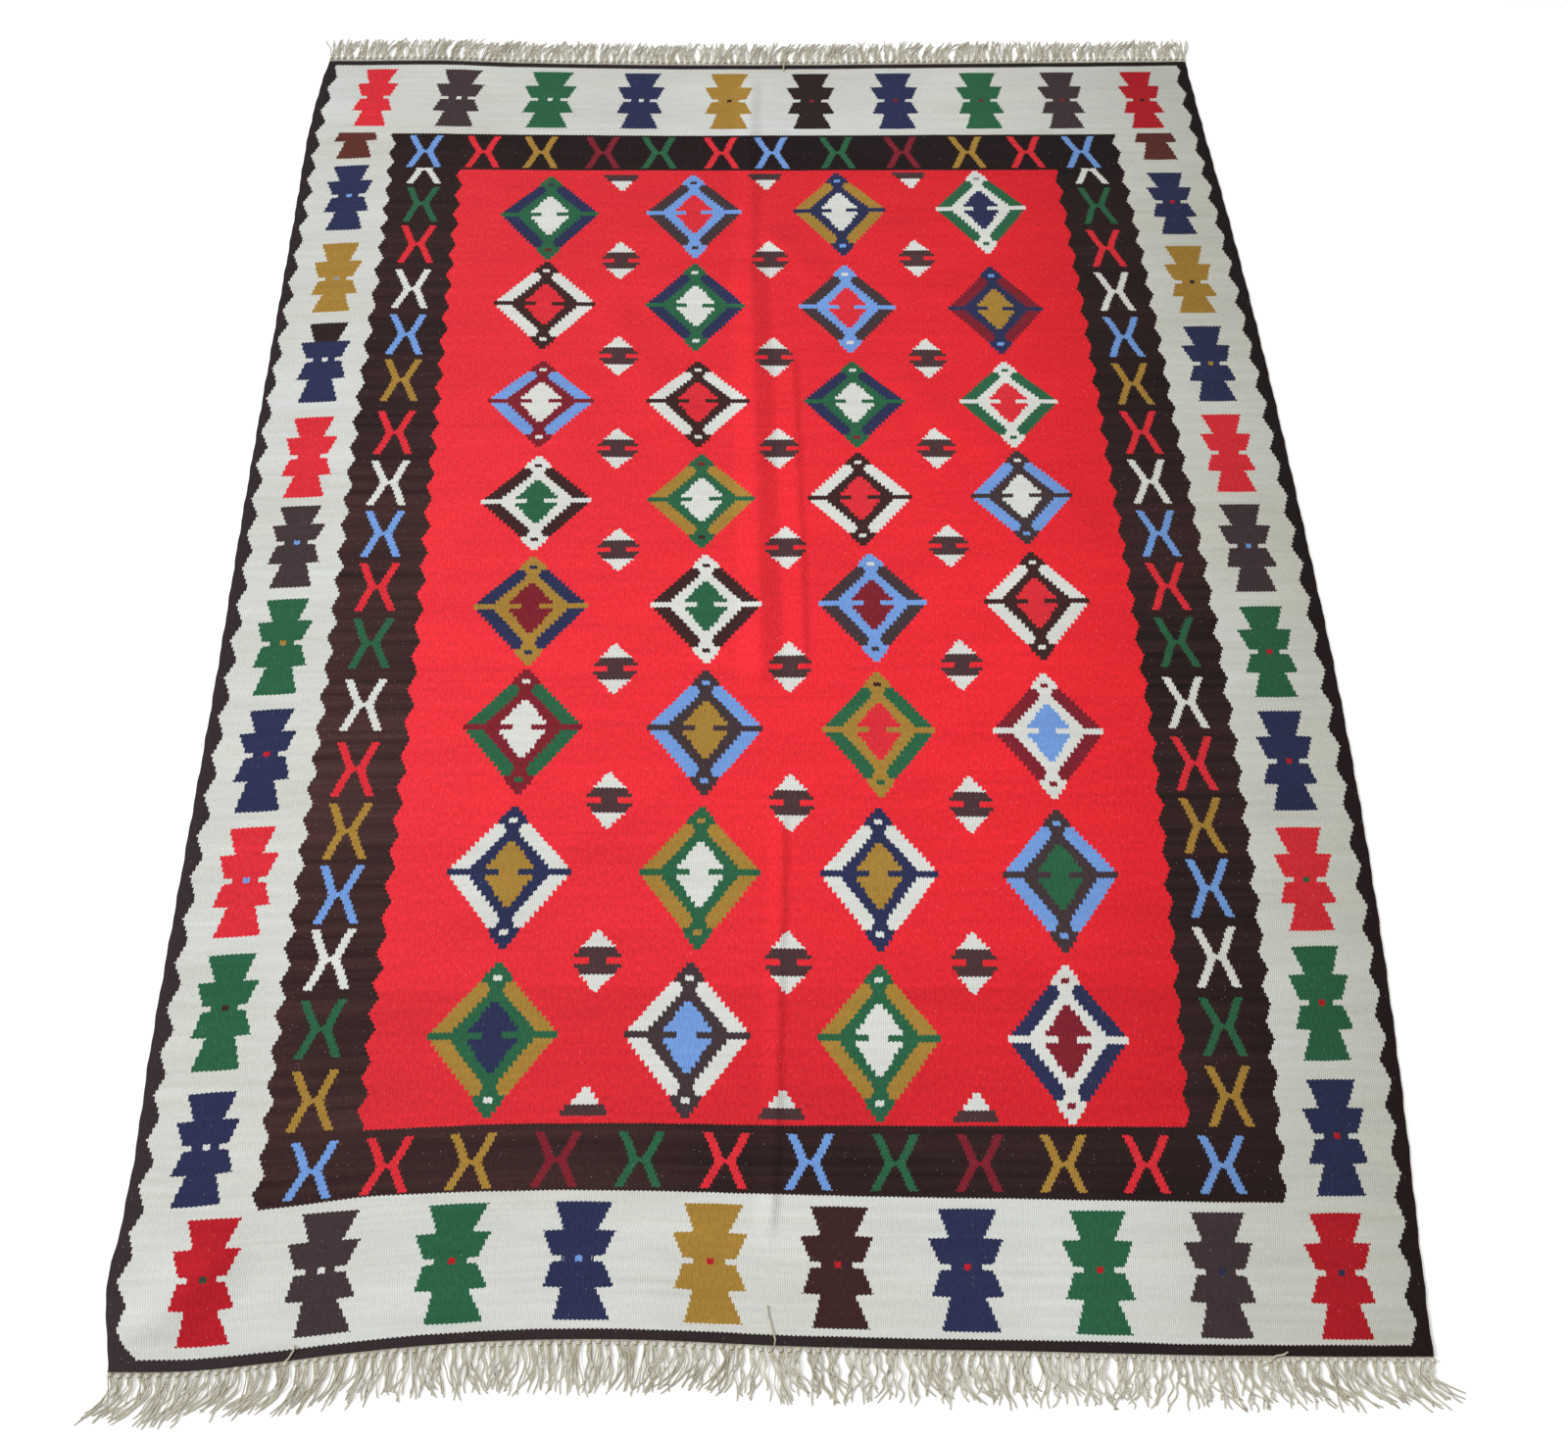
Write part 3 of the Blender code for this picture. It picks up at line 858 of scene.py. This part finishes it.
# light wool glows from within, so it shows less of its unevenness and of the painted
# shade in the grooves than deep dyes do
yarn_parts = wool.nodes.new("ShaderNodeSeparateColor")
feed(wool, color, yarn_parts.inputs[0])
depth = 1.7 - Reckoned(wool, yarn_parts.outputs["Green"]) * 2.3
unevenness_and_groove_shade = (handspun * HANDSPUN_SHADE + fibres * FIBRE_SHADE - groove * GROOVE_PAINTED_SHADE) * depth
strength = unevenness_and_groove_shade + batches * BATCH_SHADE + streaks * streaked + 1.0
uneven_and_groove_shaded = strengthened(wool, color, strength)
# painted shade: towards the right side every yarn grows darker and a little yellower
soil_and_shade = ((across - PAINTED_SHADE_FROM) / (CLOTH_WIDTH - PAINTED_SHADE_FROM)).up_to(1.0)
soiled_and_shaded = mixed(wool, soil_and_shade, uneven_and_groove_shaded, PAINTED_SHADE_TINT, "MULTIPLY")
lint_cells = wool.nodes.new("ShaderNodeTexVoronoi")
lint_cells.inputs["Scale"].default_value = LINT_CELLS
feed(wool, place_of(wool, across * 1.6, along), lint_cells.inputs["Vector"])
lint = (Reckoned(wool, lint_cells.outputs["Distance"]) < LINT_SIZE) * LINT_SHARE
feed(wool, mixed(wool, lint, soiled_and_shaded, opaque(YARNS["white"])), out["Color"])
feed(wool, fibres, out["Fuzz"])

# The ground's own wools: undyed dark wool that runs from black to fox brown in bands,
# greyer wool in the selvedge, undyed light wool, and the red field in its dye lots.
BLACK_WOOL = (24, 16, 18)
FOX_WOOL = (78, 52, 50)
SELVEDGE_LEFT_WOOL = (58, 48, 51)
SELVEDGE_RIGHT_WOOL = (40, 28, 28)
LIGHT_WOOL = (214, 217, 213)
CREAM_WOOL = (202, 199, 186)
LIGHT_FAR_TINT = (0.95, 0.95, 0.96, 1.0)
RED_LEFT_WOOL = (240, 53, 64)
RED_RIGHT_WOOL = (232, 34, 45)
# along the rug, how much fox brown is in the dark wool
FOX_PARTS = [
    (0.00, 0.38), (0.32, 0.42), (0.36, 0.52), (0.80, 0.57), (1.10, 0.67), (1.40, 0.62),
    (1.70, 0.43), (2.00, 0.28), (2.30, 0.34), (2.50, 0.20), (2.60, 0.14),
]
# along the rug, how strong the red of each dye lot is
RED_LOTS = [
    (0.35, 0.80), (0.50, 0.83), (0.592, 0.83), (0.596, 0.92), (0.80, 0.95), (0.95, 0.985), (1.25, 1.00),
    (1.40, 0.98), (1.70, 0.955), (2.00, 0.91), (2.30, 0.88), (2.53, 0.85),
]
ground_wool, (light, dark, field, across, weft), out = new_group(
    "ground_wools", ("Light", "Dark", "Field", "Across", "Weft"), ("Color",))
bands = noise(ground_wool, place_of(ground_wool, across * 0.9, weft * 60.0), 1.0, 3.0, 0.7)
drift = noise(ground_wool, place_of(ground_wool, across * 1.5, weft * 3.0), 1.0, 2.0, 0.5)
fox_part = curve_of(ground_wool, weft, FOX_PARTS) * (1.15 - across * 0.30)
fox = (fox_part * (bands * 1.4 + drift * 1.1 + 1.05)).up_to(1.0)
dark_wool = mixed(ground_wool, fox, opaque(BLACK_WOOL), opaque(FOX_WOOL))
to_right = across / CLOTH_WIDTH
selvedge_wool = mixed(ground_wool, to_right, opaque(SELVEDGE_LEFT_WOOL), opaque(SELVEDGE_RIGHT_WOOL))
selvedge_wool = mixed(ground_wool, weft * 0.18, selvedge_wool, opaque(BLACK_WOOL))
creamy = (bands * 0.5 + drift * 0.7 + 0.30).up_to(1.0)
light_wool = mixed(ground_wool, creamy, opaque(LIGHT_WOOL), opaque(CREAM_WOOL))
light_wool = mixed(ground_wool, weft / CLOTH_LENGTH, light_wool, LIGHT_FAR_TINT, "MULTIPLY")
full_red = mixed(ground_wool, to_right, opaque(RED_LEFT_WOOL), opaque(RED_RIGHT_WOOL))
lot = curve_of(ground_wool, weft, RED_LOTS) * 1.045 + bands * 0.06
red_wool = strengthened(ground_wool, full_red, lot)
ground = mixed(ground_wool, light, selvedge_wool, light_wool)
ground = mixed(ground_wool, dark, ground, dark_wool)
feed(ground_wool, mixed(ground_wool, field, ground, red_wool), out["Color"])


def new_material(name, roughness, sheen):
    """A material with its Principled shader: its tree and that shader's inputs."""
    material = bpy.data.materials.new(name)
    material.use_nodes = True
    shader = material.node_tree.nodes["Principled BSDF"]
    shader.inputs["Roughness"].default_value = roughness
    shader.inputs["Sheen Weight"].default_value = sheen
    shader.inputs["Sheen Roughness"].default_value = 0.6
    shader.inputs["Specular IOR Level"].default_value = 0.08
    return material, material.node_tree, shader.inputs


def two_numbers(tree, map_name):
    """The two numbers of a UV map."""
    node = tree.nodes.new("ShaderNodeUVMap")
    node.uv_map = map_name
    parts = tree.nodes.new("ShaderNodeSeparateXYZ")
    tree.links.new(node.outputs[0], parts.inputs[0])
    return Reckoned(tree, parts.outputs[0]), Reckoned(tree, parts.outputs[1])


def read_attribute(tree, name, output):
    """What the mesh says of a face."""
    node = tree.nodes.new("ShaderNodeAttribute")
    node.attribute_name = name
    return node.outputs[output]


rug_wool, tree, shader = new_material("woven_wool", 0.95, 0.02)
across, along = two_numbers(tree, "weave")
motif_across, motif_along = two_numbers(tree, "motif")
off_middle, rib_middle, weft_shift, relief, groove = place_group(tree, rib_weave, across, along)
weft = along + weft_shift
light, dark, field = place_group(tree, ground_chart, rib_middle, weft)
picture, = place_group(tree, ground_wool, light, dark, field, across, weft)

kind = Reckoned(tree, read_attribute(tree, "motif_kind", "Fac"))
yarn_1, yarn_2, yarn_3, yarn_4, yarn_5 = (
    read_attribute(tree, f"yarn_{part + 1}", "Vector") for part in range(5))
aside = motif_across + off_middle
up = motif_along + weft_shift


def is_kind(which):
    """Where the faces belong to one kind of motif."""
    return abs(kind - which) < 0.5


def weave_in(mask, where, yarn):
    """Lays a yarn over the picture in a chart's mask, on the faces of its own kind."""
    return mixed(tree, mask & where, picture, yarn)


here = is_kind(CROSS) & dark
bars, = place_group(tree, cross_chart, aside, up)
picture = weave_in(bars, here, yarn_1)
here = is_kind(FIGURE)
body, dot, head = place_group(tree, figure_chart, aside, up)
for mask, yarn in ((body, yarn_1), (dot, yarn_2), (head, yarn_3)):
    picture = weave_in(mask, here, yarn)
for chart, which in ((small_chart, SMALL_DIAMOND), (half_chart, HALF_DIAMOND)):
    here = is_kind(which) & field
    tips, waist = place_group(tree, chart, aside, up)
    for mask, yarn in ((tips, yarn_1), (waist, yarn_2)):
        picture = weave_in(mask, here, yarn)
here = is_kind(BIG_DIAMOND)
bars, ring, heart, far_dot, near_dot = place_group(tree, diamond_chart, aside, up)
diamond_parts = ((bars, yarn_1), (ring, yarn_2), (heart, yarn_3), (far_dot, yarn_4), (near_dot, yarn_5))
for mask, yarn in diamond_parts:
    picture = weave_in(mask, here, yarn)

color, fuzz = place_group(tree, wool, picture, across, along, groove, 0.12)
feed(tree, color, shader["Base Color"])
bump = tree.nodes.new("ShaderNodeBump")
bump.inputs["Distance"].default_value = 0.0004
feed(tree, relief + fuzz * 0.15, bump.inputs["Height"])
feed(tree, bump.outputs[0], shader["Normal"])
rug.data.materials.append(rug_wool)

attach(rug, "root")
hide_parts("woven_rug")

# ---------------------------------------------------------------------------------
# The fringes. At each end the cotton warps come out of the cloth in bunches, each tied
# in one knot close to the cloth, and fray into loose wavy yarns that lie on the floor.
# The locks were swept aside in places, and a few stray ends lie over the cloth.
# ---------------------------------------------------------------------------------
KNOTS_PER_END = 138
THIN_YARN = 0.00102
THICK_YARN = 0.00120
TUBE_SIDES = 6
STEPS_ALONG = 11
# a knot: how far from the cloth, how thick its yarn, how wide and high its turns, how high their
# middle, how far they spread along the lock, how many there are, and in how many steps
KNOT_AT = 0.0062
KNOT_YARN = 0.0017
KNOT_RADIUS = 0.0030
KNOT_RISE = 0.0020
KNOT_MIDDLE = 0.0040
KNOT_SPAN = 0.0036
KNOT_TURNS = 1.5
KNOT_POINTS = 12
# how wide the yarns of a lock spread at the cloth, in the knot and at their tips
ROOT_SPREAD = 0.0125
KNOT_SPREAD = 0.0060
TIP_SPREAD = 0.016
# how high the yarns of a lock pass over each other
LEVELS = (0.0, 0.0008, 0.0016, 0.0024)

# part of the way across, how far the tips of the locks are swept to the right, and how loose
# they are: 1 is a few thick yarns in deep waves, and 0 or less more and thinner ones that lie
# closer and almost straight
NEAR_SWEEP = np.array([
    (0.00, -0.026, 0.5), (0.05, -0.036, 0.4), (0.08, -0.034, 0.5), (0.11, -0.026, 0.2),
    (0.20, -0.012, 0.2), (0.27, 0.008, 0.6), (0.31, -0.010, 0.4), (0.36, 0.000, 0.1),
    (0.40, -0.010, 0.1), (0.46, -0.014, 0.6), (0.50, 0.010, 0.7), (0.53, 0.016, 0.9),
    (0.57, -0.004, 1.0), (0.62, 0.010, 0.9), (0.66, 0.014, 0.7), (0.70, 0.004, 0.9),
    (0.74, 0.016, 1.0), (0.78, -0.006, 1.0), (0.82, 0.012, 1.0), (0.88, 0.020, 0.8),
    (0.94, 0.034, 0.6), (1.00, 0.034, 0.5),
])
FAR_SWEEP = np.array([
    (0.00, 0.000, -0.5), (0.10, 0.006, -0.5), (0.22, 0.014, -0.4), (0.30, 0.004, -0.5),
    (0.38, 0.012, -0.4), (0.46, 0.006, -0.5), (0.55, 0.014, -0.4), (0.63, 0.004, -0.5),
    (0.72, 0.016, -0.4), (0.80, 0.004, -0.5), (0.88, 0.014, -0.4), (1.00, 0.006, -0.5),
])


def yarn_tube(points, radius):
    """Corners, faces and yarn places of one round yarn along points, thinner at its end."""
    points = np.array(points)
    forward = np.gradient(points, axis=0)
    forward /= np.linalg.norm(forward, axis=1)[:, None]
    side = np.cross(forward, (0.0, 0.0, 1.0))
    side /= np.maximum(np.linalg.norm(side, axis=1)[:, None], 1e-9)
    over = np.cross(side, forward)
    turn = np.linspace(0, 2 * math.pi, TUBE_SIDES, endpoint=False)
    ring = np.cos(turn)[None, :, None] * side[:, None] + np.sin(turn)[None, :, None] * over[:, None]
    thick = np.full(len(points), radius)
    thick[-1] *= 0.6
    corners = (points[:, None] + thick[:, None, None] * ring).reshape(-1, 3)
    travel = np.concatenate([[0], np.cumsum(np.linalg.norm(np.diff(points, axis=0), axis=1))])
    tube_faces, places = [], []
    for i in range(len(points) - 1):
        for k in range(TUBE_SIDES):
            following = (k + 1) % TUBE_SIDES
            tube_faces.append((i * TUBE_SIDES + k, i * TUBE_SIDES + following,
                               (i + 1) * TUBE_SIDES + following, (i + 1) * TUBE_SIDES + k))
            places += [(travel[i], k / TUBE_SIDES), (travel[i], (k + 1) / TUBE_SIDES),
                       (travel[i + 1], (k + 1) / TUBE_SIDES), (travel[i + 1], k / TUBE_SIDES)]
    last = (len(points) - 1) * TUBE_SIDES
    for cap, at in ((range(TUBE_SIDES - 1, -1, -1), 0.0), (range(last, last + TUBE_SIDES), travel[-1])):
        tube_faces.append(tuple(cap))
        places += [(at, 0.0)] * TUBE_SIDES
    return corners, tube_faces, places


def make_fringe(name, node, end, length, sweep, strays, seed):
    """One fringe. end is -1 at the near end and 1 at the far end."""
    draw = random.Random(seed)
    all_corners, all_faces, all_places, count = [], [], [], 0

    def add(points, radius):
        nonlocal count
        corners, tube_faces, places = yarn_tube(points, radius)
        all_corners.append(corners)
        all_faces.extend(tuple(i + count for i in face) for face in tube_faces)
        all_places.extend(places)
        count += len(corners)

    cloth_y = 0.0 if end < 0 else CLOTH_LENGTH
    for knot in range(KNOTS_PER_END):
        across = (knot + 0.5) / KNOTS_PER_END
        root_x, root_y = (float(v) for v in pulled(np.array(across * CLOTH_WIDTH), np.array(cloth_y)))
        root_x += SHIFT_X
        root_y += SHIFT_Y
        swept, loose = (float(smooth_value(sweep, column, np.array(across))) for column in (1, 2))
        radius = THIN_YARN + (THICK_YARN - THIN_YARN) * loose
        knot_out = KNOT_AT + draw.uniform(-0.0015, 0.0020)
        knot_x = root_x + swept * 0.06 + draw.uniform(-0.0015, 0.0015)
        # the knot: a few turns of yarn round the bunch
        turns = []
        for i in range(KNOT_POINTS + 1):
            angle = 2 * math.pi * KNOT_TURNS * i / KNOT_POINTS
            turns.append((knot_x + KNOT_RADIUS * math.cos(angle),
                          root_y + end * (knot_out + KNOT_SPAN * (i / KNOT_POINTS - 0.5)),
                          KNOT_MIDDLE + KNOT_RISE * math.sin(angle)))
        add(turns, KNOT_YARN)
        lean = swept + draw.gauss(0, 0.006)
        bow = draw.gauss(0, 0.004) - 0.25 * lean
        reach = math.sqrt(max(length ** 2 - lean ** 2, (0.6 * length) ** 2)) + draw.uniform(-0.008, 0.0)
        # then its yarns: six where they lie close, down to three where they are loose
        yarn_count = round(5 - 1.6 * loose)
        for yarn in range(yarn_count):
            part = yarn / (yarn_count - 1) - 0.5
            own_lean = lean + part * TIP_SPREAD + draw.gauss(0, 0.0050 + 0.0050 * max(0.0, loose))
            own_reach = reach * draw.uniform(0.72, 1.0)
            wave = draw.uniform(0.0006, 0.0016) + max(0.0, loose) * draw.uniform(0.0006, 0.0042)
            wave_count = draw.uniform(1.0, 2.6)
            wave_start = draw.uniform(0, 2 * math.pi)
            level = draw.choice(LEVELS)
            root_side = part * ROOT_SPREAD
            knot_side = part * KNOT_SPREAD
            points = [(root_x + root_side, root_y - end * 0.002, 0.0016),
                      (root_x + root_side * 0.8, root_y + end * 0.0025, 0.0018),
                      (knot_x + knot_side, root_y + end * knot_out, 0.0026)]
            for i in range(1, STEPS_ALONG + 1):
                t = i / STEPS_ALONG
                sway = wave * math.sin(wave_start + 2 * math.pi * wave_count * t) * min(1, 3 * t)
                drift = own_lean * (0.35 * t + 0.65 * t * t) + bow * math.sin(math.pi * t)
                hump = level * math.sin(math.pi * min(1.0, t * 1.1))
                z = radius + 0.0001 + hump + 0.0014 * (1 - t) ** 3
                points.append((knot_x + knot_side + sway + drift,
                               root_y + end * (knot_out + (own_reach - knot_out) * t), z))
            add(points, radius)
    for stray in strays:
        points = []
        for x, y, z in stray:
            floor_x, floor_y = (float(v) for v in pulled(np.array(x), np.array(y)))
            points.append((floor_x + SHIFT_X, floor_y + SHIFT_Y, z))
        add(points, THICK_YARN * 1.15)
    mesh = bpy.data.meshes.new(name)
    mesh.from_pydata(np.concatenate(all_corners).tolist(), [], all_faces)
    layer = mesh.uv_layers.new(name="yarn")
    layer.data.foreach_set("uv", np.array(all_places).ravel())
    mesh.shade_smooth()
    fringe = bpy.data.objects.new(name, mesh)
    bpy.context.scene.collection.objects.link(fringe)
    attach(fringe, "root")
    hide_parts(node)
    return fringe


# stray ends, each in a few places on the cloth and a height above the floor
OVER_CLOTH = 0.0058
NEAR_STRAYS = [
    [(0.279, 0.020, OVER_CLOTH), (0.277, 0.012, OVER_CLOTH), (0.270, 0.002, OVER_CLOTH),
     (0.262, -0.005, 0.0050), (0.248, -0.012, 0.0030)],
    [(0.992, 0.060, OVER_CLOTH), (0.992, 0.045, OVER_CLOTH), (0.996, 0.026, OVER_CLOTH),
     (1.001, 0.008, OVER_CLOTH), (0.998, -0.006, 0.0040)],
    [(1.777, 0.005, OVER_CLOTH), (1.770, 0.001, OVER_CLOTH), (1.758, -0.001, OVER_CLOTH),
     (1.748, -0.008, 0.0045), (1.734, -0.016, 0.0030)],
]
FAR_STRAYS = [
    [(1.056, 2.868, OVER_CLOTH), (1.057, 2.882, OVER_CLOTH), (1.056, 2.893, OVER_CLOTH),
     (1.062, 2.915, 0.0040), (1.058, 2.940, 0.0030)],
]
near_fringe = make_fringe("near_fringe_yarns", "near_fringe", -1, 0.088, NEAR_SWEEP, NEAR_STRAYS, seed=3)
far_fringe = make_fringe("far_fringe_yarns", "far_fringe", 1, 0.081, FAR_SWEEP, FAR_STRAYS, seed=4)

WARP_COTTON = (226, 220, 200)
SOILED_COTTON = (184, 174, 150)
TWIST = 0.0030
cotton, tree, shader = new_material("twisted_cotton", 0.9, 0.02)
along_yarn, round_yarn = two_numbers(tree, "yarn")
twist = ((along_yarn / TWIST + round_yarn * 2.0) * (2 * math.pi)).step("SINE")
geometry = tree.nodes.new("ShaderNodeNewGeometry")
soil_and_shade = noise(tree, geometry.outputs["Position"], 14.0, 3.0, 0.6)
fibres = noise(tree, geometry.outputs["Position"], 1500.0, 2.0, 0.6)
soiled_and_shaded = (soil_and_shade * 1.2 + 0.30).up_to(0.9)
cotton_color = mixed(tree, soiled_and_shaded, opaque(WARP_COTTON), opaque(SOILED_COTTON))
# painted shade along the twist: the colour darkens in a spiral where the plies dip, with the fibres' own
# heather
shaded = strengthened(tree, cotton_color, twist * 0.12 + fibres * 0.14 + 0.94)
feed(tree, shaded, shader["Base Color"])
bump = tree.nodes.new("ShaderNodeBump")
bump.inputs["Distance"].default_value = 0.0003
feed(tree, twist + fibres * 0.4, bump.inputs["Height"])
feed(tree, bump.outputs[0], shader["Normal"])
for fringe in (near_fringe, far_fringe):
    fringe.data.materials.append(cotton)

# ---------------------------------------------------------------------------------
# The studio: a plain pale floor, a large soft light from the left, a weaker strip light
# above the middle and an even fill. None of it is part of the rug. The camera stands at
# the near end, looking down.
# ---------------------------------------------------------------------------------
FLOOR_SIZE = 60.0
CAMERA_TURN = (29.8612, -0.8225, -0.8852)
CAMERA_LENS = 39.915

floor_mesh = bpy.data.meshes.new("studio_floor")
floor_shape = bmesh.new()
bmesh.ops.create_grid(floor_shape, x_segments=8, y_segments=8, size=FLOOR_SIZE / 2)
floor_shape.to_mesh(floor_mesh)
floor_shape.free()
floor = bpy.data.objects.new("studio_floor", floor_mesh)
bpy.context.scene.collection.objects.link(floor)
floor.location.z = -0.0002
pale, tree, shader = new_material("pale_floor", 0.9, 0.0)
shader["Base Color"].default_value = (0.93, 0.93, 0.93, 1.0)
floor_mesh.materials.append(pale)


def soft_light(name, at, towards, size, power, color):
    """One oblong area light that looks at a place."""
    data = bpy.data.lights.new(name, "AREA")
    data.shape = "RECTANGLE"
    data.size, data.size_y = size
    data.energy = power
    data.color = color
    light_object = bpy.data.objects.new(name, data)
    bpy.context.scene.collection.objects.link(light_object)
    light_object.location = at
    look = Vector(towards) - Vector(at)
    light_object.rotation_euler = look.to_track_quat("-Z", "Y").to_euler()


soft_light("window_side", at=(-20.0, 0.0, 14.0), towards=(0.0, 0.0, 0.0), size=(9.0, 9.0),
           power=5200.0, color=(0.98, 1.0, 1.02))
soft_light("overhead", at=(0.05, -0.15, 3.4), towards=(0.05, -0.15, 0.0), size=(0.8, 3.5),
           power=50.0, color=(1.0, 1.0, 1.0))
world = bpy.data.worlds.new("even_fill")
world.use_nodes = True
world.node_tree.nodes["Background"].inputs["Color"].default_value = (1.0, 0.995, 0.96, 1.0)
world.node_tree.nodes["Background"].inputs["Strength"].default_value = 0.51
bpy.context.scene.world = world
bpy.context.scene.view_settings.view_transform = "Standard"

camera_data = bpy.data.cameras.new("photo_camera")
camera_data.lens = CAMERA_LENS
camera_data.sensor_width = 36.0
camera_data.clip_end = 100.0
camera = bpy.data.objects.new("photo_camera", camera_data)
bpy.context.scene.collection.objects.link(camera)
camera.location = (CAMERA_AT[0] + SHIFT_X, CAMERA_AT[1] + SHIFT_Y, CAMERA_AT[2])
camera.rotation_euler = [math.radians(angle) for angle in CAMERA_TURN]
bpy.context.scene.camera = camera
